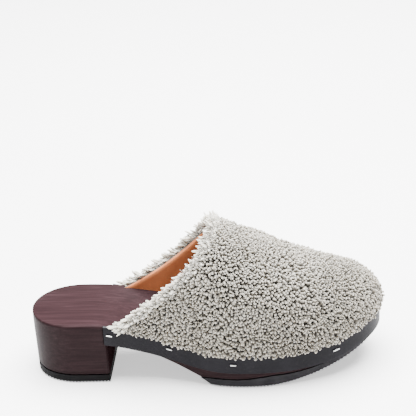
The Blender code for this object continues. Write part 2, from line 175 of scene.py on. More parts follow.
def top_height(station):
    """Height of the footbed's edge: level seat, descent through the waist, then toe spring."""
    ball_top = FULL_TREAD + BALL_LIP + BAND_HEIGHT
    toe_top = TOE_SPRING + TOE_TREAD + TOE_LIP + BAND_HEIGHT
    descent = between(SOLE_LENGTH * DESCENT_START_SHARE, SOLE_LENGTH * DESCENT_END_SHARE, station)
    rise = between(SOLE_LENGTH * TOE_RISE_SHARE, SOLE_LENGTH, station)
    return mix(HEEL_HEIGHT, ball_top, smooth(descent)) + (toe_top - ball_top) * np.maximum(rise, 0.0) ** 2


def tread_thickness(station):
    swell, full = SOLE_LENGTH * TREAD_SWELL_SHARE, SOLE_LENGTH * TREAD_FULL_SHARE
    rear = mix(REAR_TREAD, FULL_TREAD, smooth(between(swell, full, station)))
    fore = mix(TOE_TREAD, FULL_TREAD, (1 - np.clip(between(full, SOLE_LENGTH, station), 0, 1)) ** 2)
    return np.where(station < full, rear, fore)


def floor_height(station):
    """Height of the forefoot tread's underside, which rolls up towards the toe."""
    roll = between(SOLE_LENGTH * ROLL_SHARE, SOLE_LENGTH, station)
    return TOE_SPRING * np.maximum(roll, 0.0) ** ROLL_POWER


def arch_height(station):
    start, peak, end = (SOLE_LENGTH * share for share in (ARCH_START_SHARE, ARCH_PEAK_SHARE, ARCH_END_SHARE))
    return ARCH_RISE * smooth(between(start, peak, station)) * (1 - smooth(between(peak, end, station)))


def underside_height(station):
    """Height of the wood's underside in front of the heel: thin shank, ramp, then the tread's seat."""
    ramp_start, tread_start = SOLE_LENGTH * RAMP_START_SHARE, SOLE_LENGTH * TREAD_START_SHARE
    if station >= tread_start:
        return floor_height(station) + tread_thickness(station)
    shank = top_height(min(station, ramp_start)) - BAND_HEIGHT - GAP - SHANK_LIP
    return mix(shank, REAR_TREAD, max(between(ramp_start, tread_start, station), 0.0))


def place(station, y, z):
    return np.stack(np.broadcast_arrays(station - ORIGIN_STATION, y, z), axis=-1)


def collar_station(turn):
    """Station of the collar edge at an angle round the upper, from the lateral to the medial side."""
    curve = np.where(turn < math.pi / 2, LATERAL_CURVE, MEDIAL_CURVE)
    climbed = np.clip(1 - np.abs(1 - turn / (math.pi / 2)), 0, 1)
    return mix(COLLAR_END, COLLAR_TOP, 1 - (1 - climbed**COLLAR_FLARE) ** curve)


def ridge_rise(nominal):
    return mix(TOE_BOX_RISE, INSTEP_RISE, between(SOLE_LENGTH * TOE_BOX_SHARE, COLLAR_TOP, nominal))


def shell(turn, nominal, offset, lift=0.0):
    """Points of the upper's inner surface moved outwards by offset."""
    side = np.where(turn < math.pi / 2, LATERAL, MEDIAL)
    inset = INNER_INSET - offset
    station, feather_y = outline(nominal, side, inset)
    toe = smooth(between(SOLE_LENGTH * LATERAL_BALL_SHARE, SOLE_LENGTH, nominal))
    ridge_y = middle_y(nominal) + RIDGE_SHIFT * (1 - toe)
    cap = round_off(between(SOLE_LENGTH * CAP_START_SHARE, SOLE_LENGTH - inset, station), CAP_FULLNESS)
    across = np.abs(np.cos(turn)) ** (2 / ARCH_FULLNESS)
    up = np.abs(np.sin(turn)) ** (2 / ARCH_FULLNESS)
    rise = (ridge_rise(nominal) + offset - lift) * cap * up
    return place(station, mix(ridge_y, feather_y, across), top_height(station) + lift + rise)


def nominal_at(turn, share):
    """Station at a share of the way from the collar edge to the tip, crowded towards the tip."""
    return mix(collar_station(turn), SOLE_LENGTH, 1 - (1 - share) ** TOE_CROWDING)


def unit(vectors):
    return vectors / np.maximum(np.linalg.norm(vectors, axis=-1, keepdims=True), 1e-12)


def shell_normal(turn, share, offset):
    """Outward normals of the shell by small steps along its two directions."""
    step = 1e-3
    low_turn, high_turn = np.clip(turn - step, 0, math.pi), np.clip(turn + step, 0, math.pi)
    low_share, high_share = np.clip(share - step, 0, 1), np.clip(share + step, 0, 1)
    around = (shell(high_turn, nominal_at(high_turn, share), offset)
              - shell(low_turn, nominal_at(low_turn, share), offset))
    along = (shell(turn, nominal_at(turn, high_share), offset)
             - shell(turn, nominal_at(turn, low_share), offset))
    normal = unit(np.cross(around, along))
    here = shell(turn, nominal_at(turn, share), offset)
    core = here.copy()
    core[..., 1] = 0.003
    core[..., 2] = 0.035
    core[..., 0] = np.minimum(here[..., 0], 0.15)
    flip = np.sign(np.sum(normal * (here - core), axis=-1, keepdims=True))
    return normal * np.where(flip == 0, 1, flip)


# Node helpers for the materials

def new_material(name, roughness, **sockets):
    made = bpy.data.materials.new(name)
    made.use_nodes = True
    tree = made.node_tree
    shader = tree.nodes["Principled BSDF"]
    shader.inputs["Roughness"].default_value = roughness
    for socket, value in sockets.items():
        shader.inputs[socket.replace("_", " ")].default_value = value
    return made, tree, shader


def add_node(tree, kind, inputs=None, **settings):
    node = tree.nodes.new(kind)
    for key, value in settings.items():
        setattr(node, key, value)
    for key, value in (inputs or {}).items():
        if isinstance(value, bpy.types.NodeSocket):
            tree.links.new(value, node.inputs[key])
        else:
            node.inputs[key].default_value = value
    return node


def object_coordinates(tree, scale=(1, 1, 1)):
    coordinates = add_node(tree, "ShaderNodeTexCoord")
    return add_node(tree, "ShaderNodeMapping", {"Vector": coordinates.outputs["Object"], "Scale": scale}).outputs[0]


def noise_value(tree, vector, scale, detail=3.0, roughness=0.5, distortion=0.0):
    node = add_node(tree, "ShaderNodeTexNoise", {"Vector": vector, "Scale": scale, "Detail": detail,
                                                 "Roughness": roughness, "Distortion": distortion})
    return node.outputs["Fac"]


def ramp(tree, value, stops):
    node = add_node(tree, "ShaderNodeValToRGB", {"Fac": value})
    band = node.color_ramp
    while len(band.elements) < len(stops):
        band.elements.new(0.5)
    for element, (position, colour) in zip(band.elements, stops):
        element.position = position
        element.color = (*colour, 1.0)
    return node.outputs["Color"]


def blend_colours(tree, first, second, factor, kind="MIX"):
    node = add_node(tree, "ShaderNodeMix", data_type="RGBA", blend_type=kind)
    for index, value in ((0, factor), (6, first), (7, second)):
        if isinstance(value, bpy.types.NodeSocket):
            tree.links.new(value, node.inputs[index])
        elif index == 0:
            node.inputs[index].default_value = value
        else:
            node.inputs[index].default_value = (*value, 1.0)
    return node.outputs[2]


def bump(tree, shader, height, strength, distance):
    node = add_node(tree, "ShaderNodeBump", {"Height": height, "Strength": strength, "Distance": distance})
    tree.links.new(node.outputs["Normal"], shader.inputs["Normal"])


def facing_up(tree):
    """1 on faces that look straight up, 0 on walls and undersides."""
    normal = add_node(tree, "ShaderNodeNewGeometry").outputs["Normal"]
    up = add_node(tree, "ShaderNodeSeparateXYZ", {"Vector": normal}).outputs["Z"]
    node = add_node(tree, "ShaderNodeMapRange", {"Value": up, "From Min": 0.5, "From Max": 0.95})
    return node.outputs["Result"]


def wool_material():
    """Wool from painted shade at the root to a pale tip, partly its own colour and partly a painted highlight, with
    fine hairs and soft changes of tone.
    """
    made, tree, shader = new_material("wool_tufts", 0.9, Sheen_Weight=0.3, Sheen_Roughness=0.5,
                                      Specular_IOR_Level=0.2, Subsurface_Weight=0.45, Subsurface_Scale=0.0025,
                                      Subsurface_Radius=(1.0, 0.92, 0.82))
    rise = add_node(tree, "ShaderNodeAttribute", attribute_name="rise").outputs["Fac"]
    tone = add_node(tree, "ShaderNodeAttribute", attribute_name="tone").outputs["Fac"]
    # Painted shade darkens the root end of each tuft; the bright last stop at the tip is partly a painted
    # highlight.
    colour = ramp(tree, rise, [(0.0, (0.150, 0.138, 0.116)), (0.5, (0.190, 0.175, 0.148)),
                               (0.80, (0.255, 0.237, 0.203)), (0.94, (0.400, 0.376, 0.328)),
                               (1.0, (0.660, 0.628, 0.560))])
    # The tone ramp carries painted shade low on the sides and in the partings, along with random changes of tone.
    shade = ramp(tree, tone, [(0.0, (0.60, 0.582, 0.555)), (1.0, (1.06, 1.06, 1.06))])
    colour = blend_colours(tree, colour, shade, 1.0, "MULTIPLY")
    coordinates = object_coordinates(tree)
    patches = noise_value(tree, coordinates, 38.0)
    patch = ramp(tree, patches, [(0.35, (0.90, 0.90, 0.88)), (0.7, (1.0, 1.0, 1.0))])
    colour = blend_colours(tree, colour, patch, 1.0, "MULTIPLY")
    tree.links.new(colour, shader.inputs["Base Color"])
    bump(tree, shader, noise_value(tree, coordinates, 2600.0, 2.0), 0.5, 0.0003)
    return made


def lining_material():
    made, tree, shader = new_material("tan_lining_leather", 0.6, Specular_IOR_Level=0.12)
    coordinates = object_coordinates(tree)
    tone = noise_value(tree, coordinates, 30.0, 5.0, 0.6)
    tans = [(0.3, (0.36, 0.118, 0.046)), (0.55, (0.46, 0.162, 0.066)), (0.8, (0.56, 0.215, 0.096))]
    colour = ramp(tree, tone, tans)
    tree.links.new(colour, shader.inputs["Base Color"])
    bump(tree, shader, noise_value(tree, coordinates, 900.0, 4.0, 0.6), 0.25, 0.0003)
    return made


def wood_material(name, roughness, gloss):
    """Dark stained wood with fine grain along the shoe, with painted light on the faces that look up."""
    made, tree, shader = new_material(name, roughness, Specular_IOR_Level=gloss)
    along = object_coordinates(tree, (28.0, 650.0, 650.0))
    fine = noise_value(tree, along, 1.0, 6.0, 0.66, 0.5)
    broad = noise_value(tree, object_coordinates(tree, (7.0, 90.0, 90.0)), 1.0, 3.0, 0.5, 1.2)
    colour = ramp(tree, fine, [(0.30, (0.0075, 0.0034, 0.0040)), (0.52, (0.0115, 0.0056, 0.0064)),
                               (0.74, (0.0195, 0.0110, 0.0122))])
    shade = ramp(tree, broad, [(0.3, (0.80, 0.78, 0.78)), (0.7, (1.0, 1.0, 1.0))])
    colour = blend_colours(tree, colour, shade, 1.0, "MULTIPLY")
    # Painted light: faces that look up are painted lighter than the walls.
    painted_top_light = ramp(tree, facing_up(tree), [(0.0, (1.0, 1.0, 1.0)), (1.0, (1.7, 1.55, 1.6))])
    colour = blend_colours(tree, colour, painted_top_light, 1.0, "MULTIPLY")
    tree.links.new(colour, shader.inputs["Base Color"])
    bump(tree, shader, fine, 0.22, 0.0004)
    return made


def band_material():
    made, tree, shader = new_material("charcoal_strip_leather", 0.5, Specular_IOR_Level=0.07)
    coordinates = object_coordinates(tree)
    tone = noise_value(tree, coordinates, 60.0, 4.0, 0.6)
    colour = ramp(tree, tone, [(0.3, (0.0030, 0.0027, 0.0038)), (0.7, (0.0065, 0.0059, 0.0080))])
    # Faces that look up get a lighter grey than the sides.
    colour = blend_colours(tree, colour, (0.030, 0.029, 0.031), facing_up(tree))
    tree.links.new(colour, shader.inputs["Base Color"])
    bump(tree, shader, noise_value(tree, coordinates, 700.0, 4.0, 0.65), 0.3, 0.0003)
    return made


def rubber_material(name, shade):
    # shade sets how light the rubber is painted; the two treads get different values as painted light and shade.
    made, tree, shader = new_material(name, 0.75, Specular_IOR_Level=0.08)
    coordinates = object_coordinates(tree)
    colour = ramp(tree, noise_value(tree, coordinates, 120.0, 4.0),
                  [(0.3, (shade * 0.65, shade * 0.62, shade * 0.72)),
                   (0.7, (shade * 1.35, shade * 1.30, shade * 1.42))])
    tree.links.new(colour, shader.inputs["Base Color"])
    bump(tree, shader, noise_value(tree, coordinates, 1500.0, 2.0), 0.3, 0.0002)
    return made


def steel_material():
    made, tree, shader = new_material("bright_staple_wire", 0.28, Metallic=1.0)
    coordinates = object_coordinates(tree, (200.0, 900.0, 900.0))
    wear = noise_value(tree, coordinates, 1.0, 2.0)
    colour = ramp(tree, wear, [(0.3, (0.40, 0.40, 0.39)), (0.7, (0.55, 0.55, 0.54))])
    tree.links.new(colour, shader.inputs["Base Color"])
    bump(tree, shader, noise_value(tree, coordinates, 1.0, 2.0), 0.1, 0.0001)
    return made


def floor_material():
    made, tree, shader = new_material("pale_floor", 0.6, Emission_Color=(1.0, 1.0, 1.0, 1.0),
                                      Emission_Strength=0.8)
    coordinates = object_coordinates(tree)
    colour = ramp(tree, noise_value(tree, coordinates, 3.0), [(0.3, (0.90, 0.90, 0.90)), (0.7, (0.93, 0.93, 0.93))])
    tree.links.new(colour, shader.inputs["Base Color"])
    return made


# Mesh helpers

def add_piece(name, points, faces, look, attributes=None):
    mesh = bpy.data.meshes.new(name)
    mesh.from_pydata([tuple(p) for p in points], [], faces)
    mesh.materials.append(look)
    for key, values in (attributes or {}).items():
        layer = mesh.attributes.new(key, "FLOAT", "POINT")
        layer.data.foreach_set("value", np.asarray(values, dtype=np.float32))
    mesh.shade_smooth()
    piece = bpy.data.objects.new(name, mesh)
    bpy.context.scene.collection.objects.link(piece)
    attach(piece, "root")
    return piece


def grid_faces(rows, columns, start=0, flip=False):
    """Quads over a grid of points stored row by row."""
    faces = []
    for row in range(rows - 1):
        for column in range(columns - 1):
            corner = start + row * columns + column
            quad = (corner, corner + 1, corner + columns + 1, corner + columns)
            faces.append(quad[::-1] if flip else quad)
    return faces


def sheet_piece(name, rows, look, flip=False):
    """A smooth sheet through rows of points."""
    rows = np.asarray(rows)
    count, columns = rows.shape[:2]
    return add_piece(name, rows.reshape(-1, 3), grid_faces(count, columns, 0, flip), look)


# Base, treads and welt strip, with the same form as their solids and finer steps

def loft_piece(name, sections, look, node, first_cap=False, last_cap=False):
    """A closed skin over rings of equal length, smooth but for its sharp edges."""
    rings = np.array(sections)
    count, corners = rings.shape[:2]
    faces = []
    for ring in range(count - 1):
        for corner in range(corners):
            after = (corner + 1) % corners
            low, high = ring * corners, (ring + 1) * corners
            faces.append((low + corner, high + corner, high + after, low + after))
    if first_cap:
        faces.append(tuple(range(corners)))
    if last_cap:
        faces.append(tuple(range(count * corners - 1, (count - 1) * corners - 1, -1)))
    piece = add_piece(name, rings.reshape(-1, 3), faces, look)
    shape = bmesh.new()
    shape.from_mesh(piece.data)
    bmesh.ops.remove_doubles(shape, verts=shape.verts, dist=WELD)
    bmesh.ops.recalc_face_normals(shape, faces=shape.faces)
    if shape.calc_volume(signed=True) < 0:
        bmesh.ops.reverse_faces(shape, faces=shape.faces)
    shape.to_mesh(piece.data)
    shape.free()
    piece.data.shade_smooth()
    piece.data.set_sharp_from_angle(angle=math.radians(SHARP_ANGLE))
    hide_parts(node)
    return piece


def both_sides(half):
    """A closed section from its lateral half and its medial half, both from top to bottom."""
    lateral, medial = half(LATERAL), half(MEDIAL)
    return lateral[::-1] + medial[1:-1]


def spot_at(station, y, z):
    return (float(station) - ORIGIN_STATION, float(y), float(z))


def base_section(nominal, heel, rebate, corner=0.0):
    toe = smooth(between(SOLE_LENGTH * LATERAL_BALL_SHARE, SOLE_LENGTH, nominal))
    drawn_in = HEEL_TAPER if heel else TOE_UNDERCUT * toe
    middle = middle_y(nominal)

    def half(side):
        upper_station, upper_y = outline(nominal, side, rebate)
        full_width = max(abs(outline(nominal, side)[1] - middle), WELD)
        ledge_station, ledge_y = outline(nominal, side, corner)
        foot_station, foot_y = outline(nominal, side, drawn_in + corner)
        top = top_height(upper_station)
        ledge = top_height(ledge_station) - BAND_HEIGHT - GAP
        bottom = HEEL_TREAD if heel else underside_height(float(foot_station))
        foot = min(FOOT_ROUND, (ledge - bottom) / 3)
        width = max(abs(upper_y - middle), WELD)
        rim, dish = min(EDGE_ROUND, width), min(SEAT_DISH, width / 10)
        rim = rim if rebate < BAND_REBATE else rim / 4
        arch = arch_height(upper_station) if side == MEDIAL else 0.0
        points = []
        for share in np.linspace(0, 1, 10)[:-1]:
            y = mix(middle, upper_y - side * rim, share)
            reach = abs(y - middle) / full_width
            points.append(spot_at(upper_station, y, top - dish * (1 - reach**2) + arch * reach**2))
        for turned in np.linspace(0, math.pi / 2, 9):
            y = upper_y - side * rim * (1 - math.sin(turned))
            reach = abs(y - middle) / full_width
            height = top - dish * (1 - reach**2) + arch * reach**2
            points.append(spot_at(upper_station, y, height - rim * (1 - math.cos(turned))))
        points.append(spot_at(upper_station, upper_y, top - BAND_HEIGHT - GAP))
        points.append(spot_at(ledge_station, ledge_y, ledge))
        for share in (0.03, 0.5, 0.97):
            station, y = mix(ledge_station, foot_station, share), mix(ledge_y, foot_y, share)
            points.append(spot_at(station, y, mix(ledge, bottom + foot, share)))
        points.append(spot_at(foot_station, foot_y, bottom + foot))
        points.append(spot_at(foot_station, foot_y - side * min(foot, abs(foot_y - middle)), bottom))
        points.append(spot_at(foot_station, mix(middle, foot_y, 0.5), bottom))
        points.append(spot_at(foot_station, middle, bottom))
        return points

    return both_sides(half)


def heel_turn(count):
    """Stations round the back of the heel, closer together as the outline turns."""
    return [HEEL_ROUND * (1 - math.cos(math.pi / 2 * step / count)) for step in range(count + 1)]


def toe_turn(count):
    ball = SOLE_LENGTH * LATERAL_BALL_SHARE
    return [ball + (SOLE_LENGTH - ball) * math.sin(math.pi / 2 * step / count) for step in range(1, count + 1)]


def wooden_base(look, end_look):
    ramp_start, tread_start = SOLE_LENGTH * RAMP_START_SHARE, SOLE_LENGTH * TREAD_START_SHARE
    ball = SOLE_LENGTH * LATERAL_BALL_SHARE
    seat = heel_turn(36) + list(np.linspace(HEEL_ROUND, BAND_START, 11)[1:])
    forepart = sorted(list(np.linspace(COLLAR_END, ball, 44)) + [ramp_start, tread_start] + toe_turn(48))
    sections = [base_section(nominal, True, 0.0) for nominal in seat]
    sections.append(base_section(BAND_START + GAP, True, BAND_REBATE))
    sections.append(base_section(HEEL_LENGTH - CORNER_CUT, True, BAND_REBATE))
    sections.append(base_section(HEEL_LENGTH, True, BAND_REBATE, corner=CORNER_CUT))
    sections.append(base_section(HEEL_LENGTH + GAP, False, BAND_REBATE))
    sections.append(base_section(COLLAR_END - 2 * GAP, False, BAND_REBATE))
    sections.append(base_section(COLLAR_END - GAP, False, REBATE))
    sections += [base_section(nominal, False, REBATE) for nominal in forepart]
    base = loft_piece("base_wood", sections, look, "wooden_base")
    base.data.materials.append(end_look)
    for face in base.data.polygons:
        if face.normal.x > 0.8 and face.center.x < HEEL_LENGTH:
            face.material_index = 1


def rib_lift(station):
    """Height of the underside above the ribs' feet: ribs and grooves across the shoe."""
    along = station / RIB_PITCH % 1.0
    up = smooth(between(RIB_SHARE - RIB_SLOPE, RIB_SHARE, along))
    down = smooth(between(1 - RIB_SLOPE, 1, along))
    return RIB_DEPTH * (up - down)


def rib_stations(start, end):
    """Stations at the corners of the ribs between two places."""
    stations = []
    for number in range(int(start / RIB_PITCH), int(end / RIB_PITCH) + 1):
        stations += [(number + share) * RIB_PITCH
                     for share in (0.0, RIB_SHARE - RIB_SLOPE, RIB_SHARE, 1 - RIB_SLOPE)]
    return [station for station in stations if start < station < end]


def tread_section(nominal, heel, bevel=0.0, ribbed=1.0):
    toe = smooth(between(SOLE_LENGTH * LATERAL_BALL_SHARE, SOLE_LENGTH, nominal))
    drawn_in = HEEL_TAPER if heel else TOE_UNDERCUT * toe
    middle = middle_y(nominal)

    def half(side):
        station, y = outline(nominal, side, drawn_in)
        top = (HEEL_TREAD if heel else underside_height(float(station))) - GAP
        bottom = (0.0 if heel else floor_height(station)) + rib_lift(float(station)) * ribbed
        foot = min(FOOT_ROUND / 2, (top - bottom) / 3)
        return [
            spot_at(station, middle, top),
            spot_at(station, y, top),
            spot_at(station + bevel, y, bottom + foot),
            spot_at(station + bevel, y - side * min(foot, abs(y - middle)), bottom),
            spot_at(station + bevel, middle, bottom),
        ]

    return both_sides(half)


def treads(heel_look, fore_look):
    heel = sorted(heel_turn(24) + rib_stations(0.001, HEEL_LENGTH) + [HEEL_LENGTH])
    sections = [tread_section(nominal, True) for nominal in heel]
    loft_piece("heel_rubber", sections, heel_look, "heel_tread", last_cap=True)
    start = SOLE_LENGTH * TREAD_START_SHARE
    bevel_end = start + 2 * TREAD_BEVEL
    fore = sorted([start] + rib_stations(start, SOLE_LENGTH - 0.002) + toe_turn(30))
    sections = []
    for nominal in fore:
        bevel = TREAD_BEVEL * float(np.clip(1 - between(start, bevel_end, nominal), 0, 1))
        sections.append(tread_section(nominal, False, bevel))
    loft_piece("forefoot_rubber", sections, fore_look, "forefoot_tread", first_cap=True)


def band_section(nominal, side):
    def corner(inset, height):
        station, y = outline(nominal, side, inset)
        return spot_at(station, y, top_height(station) + height)

    outer, inner = -BAND_PROUD, BAND_THICKNESS - BAND_PROUD
    points = [corner(inner, 0.0)]
    for turned in np.linspace(0, math.pi / 2, 5):
        points.append(corner(outer + BAND_EDGE * (1 - math.sin(turned)), -BAND_EDGE * (1 - math.cos(turned))))
    for share in (0.2, 0.4, 0.6, 0.8):
        points.append(corner(outer, -mix(BAND_EDGE, BAND_HEIGHT - BAND_EDGE, share)))
    for turned in np.linspace(math.pi / 2, 0, 5):
        points.append(corner(outer + BAND_EDGE * (1 - math.sin(turned)),
                             BAND_EDGE * (1 - math.cos(turned)) - BAND_HEIGHT))
    points.append(corner(inner, -BAND_HEIGHT))
    return points


def welt_band(look):
    stations = list(np.linspace(BAND_START + 2 * GAP, SOLE_LENGTH * LATERAL_BALL_SHARE, 60)) + toe_turn(60)
    sections = [band_section(nominal, LATERAL) for nominal in stations]
    sections += [band_section(nominal, MEDIAL) for nominal in stations[-2::-1]]
    loft_piece("welt_strip", sections, look, "welt_band", first_cap=True, last_cap=True)


# Leather wall of the upper

def wall_sheet(name, offset, look, flip, girth=96, length=90, rim=None):
    """One face of the upper's wall, with its margin tucked down behind the welt strip."""
    turns = np.linspace(0, math.pi, girth + 1)
    shares = np.linspace(0, 1, length + 1)
    turn, share = np.meshgrid(turns, shares)
    body = shell(turn, nominal_at(turn, share), offset)
    columns = []
    for side, turn_value in ((LATERAL, 0.0), (MEDIAL, math.pi)):
        station, y = outline(nominal_at(turn_value, shares), side, INNER_INSET - min(offset, WALL))
        margin = [place(station, y, top_height(station) - depth) for depth in (SKIN_MARGIN, SKIN_MARGIN / 2)]
        columns.append(np.stack(margin if side == LATERAL else margin[::-1], axis=1))
    rows = np.concatenate([columns[0], body, columns[1]], axis=1)
    if rim is not None:
        rows = np.concatenate([collar_rim(turns, rows[0], *rim), rows], axis=0)
    return sheet_piece(name, rows, look, flip)


def collar_rim(turns, first_row, start, end):
    """Rows that round a face of the wall over the collar edge, from offset start to offset end."""
    rows = []
    margin = (len(first_row) - len(turns)) // 2
    for step in range(RIM_STEPS):
        share = step / RIM_STEPS
        edge = shell(turns, nominal_at(turns, 0.0), mix(start, end, share))
        edge[:, 0] -= RIM_BULGE * math.cos(math.pi / 2 * share)
        row = first_row.copy()
        row[margin:-margin] = edge
        rows.append(row)
    return np.array(rows)


# Wool

def tuft_size(spot):
    """Relative size of the tufts near a place: larger low on the sides, finer over the top and toe."""
    high = min(max(spot[2] / 0.085, 0.0), 1.0)
    return max(1.16 - 0.26 * high + 0.38 * noise.noise(Vector(spot) * 34.0), 0.75)


def parting(spot):
    """1 in the middle of a parting of the wool, falling to 0 beside it."""
    field = noise.noise(Vector((spot[0] + spot[2] * 0.9, spot[1], spot[2] * 1.3)) * 26.0)
    return math.exp(-((field - 0.08) / 0.038) ** 2)


def scatter_roots(dice):
    """Places on the shell at least a varying distance apart, as turn and share arrays."""
    cells_turn, cells_share = 180, 160
    turns, shares = np.linspace(0, math.pi, cells_turn + 1), np.linspace(0, 1, cells_share + 1)
    turn, share = np.meshgrid(turns, shares, indexing="ij")
    grid = shell(turn, nominal_at(turn, share), ROOT_OFFSET)
    area = np.linalg.norm(np.cross(grid[1:, :-1] - grid[:-1, :-1], grid[:-1, 1:] - grid[:-1, :-1]), axis=-1)
    chosen = dice.choice(area.size, size=TRY_COUNT, p=(area / area.sum()).ravel())
    row, column = np.unravel_index(chosen, area.shape)
    turn = (row + dice.random(TRY_COUNT)) / cells_turn * math.pi
    share = (column + dice.random(TRY_COUNT)) / cells_share
    spots = shell(turn, nominal_at(turn, share), ROOT_OFFSET)
    kept, cells, cell_size = [], {}, TUFT_SPACING * 1.5
    for index, spot in enumerate(spots):
        apart = TUFT_SPACING * tuft_size(spot)
        key = tuple(int(math.floor(v / cell_size)) for v in spot)
        near = (cells.get((key[0] + i, key[1] + j, key[2] + k), ())
                for i in (-1, 0, 1) for j in (-1, 0, 1) for k in (-1, 0, 1))
        if all(np.sum((other - spot) ** 2) > apart * apart for group in near for other in group):
            cells.setdefault(key, []).append(spot)
            kept.append(index)
    return turn[kept], share[kept]


def tuft_mesh(roots, heads, radii, bends, tones, dice, sides=TUFT_SIDES):
    """Tapered tufts from arrays of roots and head vectors. Returns points, faces, rise and tone."""
    count = len(roots)
    stages = np.array([0.0, 0.42, 0.76, 0.94])
    widths = np.array([0.95, 1.0, 0.90, 0.54])
    lengths = np.linalg.norm(heads, axis=1)
    ahead = unit(heads)
    spare = np.where(np.abs(ahead[:, 2:3]) < 0.9, np.array([[0.0, 0.0, 1.0]]), np.array([[1.0, 0.0, 0.0]]))
    first = unit(np.cross(ahead, spare))
    second = np.cross(ahead, first)
    phase = dice.random(count) * 2 * math.pi
    wave = 0.09 * radii * dice.uniform(0.6, 1.6, count)
    centres = []
    for stage in np.append(stages, 1.0):
        sway = wave * np.sin(stage * 7.0 + phase)
        drift = wave * np.cos(stage * 6.0 + phase * 1.7)
        centre = roots + heads * stage + bends * stage**2
        centres.append(centre + first * sway[:, None] * 2 + second * drift[:, None] * 2)
    angles = np.arange(sides) * 2 * math.pi / sides
    twist = dice.random(count) * 2 * math.pi
    points = np.empty((count, len(stages) * sides + 1, 3))
    rise = np.empty((count, len(stages) * sides + 1))
    for level, (stage, width) in enumerate(zip(stages, widths)):
        for side, angle in enumerate(angles):
            uneven = 1 + 0.16 * np.sin(angle * 2 + phase * 3)
            reach = (radii * width * uneven)[:, None]
            swung = first * np.cos(angle + twist)[:, None] + second * np.sin(angle + twist)[:, None]
            spot = centres[level] + reach * swung
            points[:, level * sides + side] = spot
            rise[:, level * sides + side] = stage
    points[:, -1] = centres[-1]
    rise[:, -1] = 1.0
    local = []
    for level in range(len(stages) - 1):
        for side in range(sides):
            after = (side + 1) % sides
            low, high = level * sides, (level + 1) * sides
            local.append((low + side, low + after, high + after, high + side))
    last, tip = (len(stages) - 1) * sides, len(stages) * sides
    caps = [(last + side, last + (side + 1) % sides, tip) for side in range(sides)]
    block = len(stages) * sides + 1
    faces = []
    for index in range(count):
        start = index * block
        faces += [tuple(start + corner for corner in face) for face in local]
        faces += [tuple(start + corner for corner in face) for face in caps]
    tone = np.repeat(tones, block)
    return points.reshape(-1, 3), faces, rise.ravel(), tone


def fleece(look, dice):
    """All tufts of the body, in four pieces from the outer to the inner side."""
    turn, share = scatter_roots(dice)
    nominal = nominal_at(turn, share)
    roots = shell(turn, nominal, ROOT_OFFSET)
    normals = shell_normal(turn, share, ROOT_OFFSET)
    edge = shell(turn, nominal_at(turn, np.zeros_like(share)), ROOT_OFFSET)
    from_collar = np.linalg.norm(roots - edge, axis=1)
    above_hem = roots[:, 2] - top_height(roots[:, 0] + ORIGIN_STATION)
    count = len(roots)
    back = np.stack([-np.ones(count), np.zeros(count), 0.25 * np.sin(turn)], axis=1)
    collar_pull = 0.9 * np.exp(-(from_collar / 0.0035) ** 2)
    hem_pull = 0.75 * np.exp(-(above_hem / 0.0035) ** 2)
    swirl = np.array([tuple(noise.noise_vector(Vector(p) * 45.0)) for p in roots])
    combed = 0.30 * np.exp(-(from_collar / 0.016) ** 2)
    ahead = normals * 1.0 + 0.17 * swirl + dice.normal(0, 0.12, (count, 3))
    ahead += back * (collar_pull * 1.3 + combed)[:, None]
    ahead[:, 2] -= hem_pull * 0.40
    ahead = unit(ahead)
    clump = np.array([noise.noise(Vector(p) * 80.0 + Vector((3.0, 1.0, 7.0))) for p in roots])
    size = np.array([tuft_size(p) for p in roots])
    parted = np.array([parting(p) for p in roots])
    lengths = TUFT_LENGTH * (1.0 + 0.14 * clump - 0.36 * parted + dice.uniform(-0.10, 0.10, count))
    lengths *= 1 + 0.25 * collar_pull - 0.22 * hem_pull
    toe = smooth(between(0.185, 0.222, roots[:, 0]))
    lengths *= 1 - 0.25 * toe
    bends = dice.normal(0, 0.0005, (count, 3))
    bends[:, 2] -= 0.0004
    radii = TUFT_RADIUS * size * (1 + dice.uniform(-0.14, 0.14, count))
    # Painted light and shade: tufts are painted darker towards the bottom and in the partings, lighter over the
    # top, with a random tone besides.
    lit = smooth(between(0.020, 0.100, roots[:, 2]))
    tones = np.clip(mix(0.1, 1.0, lit) * (dice.random(count) * 0.5 + 0.5) - 0.5 * parted, 0, 1)
    names = ("fleece_outer_side", "fleece_outer_top", "fleece_inner_top", "fleece_inner_side")
    for index, name in enumerate(names):
        chosen = (turn >= index * math.pi / 4) & (turn <= (index + 1) * math.pi / 4)
        points, faces, rise, tone = tuft_mesh(roots[chosen], (ahead * lengths[:, None])[chosen], radii[chosen],
                                              bends[chosen], tones[chosen], dice)
        piece = add_piece(name, points, faces, look, {"rise": rise, "tone": tone})
        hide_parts("upper")
    fringe(look, dice)


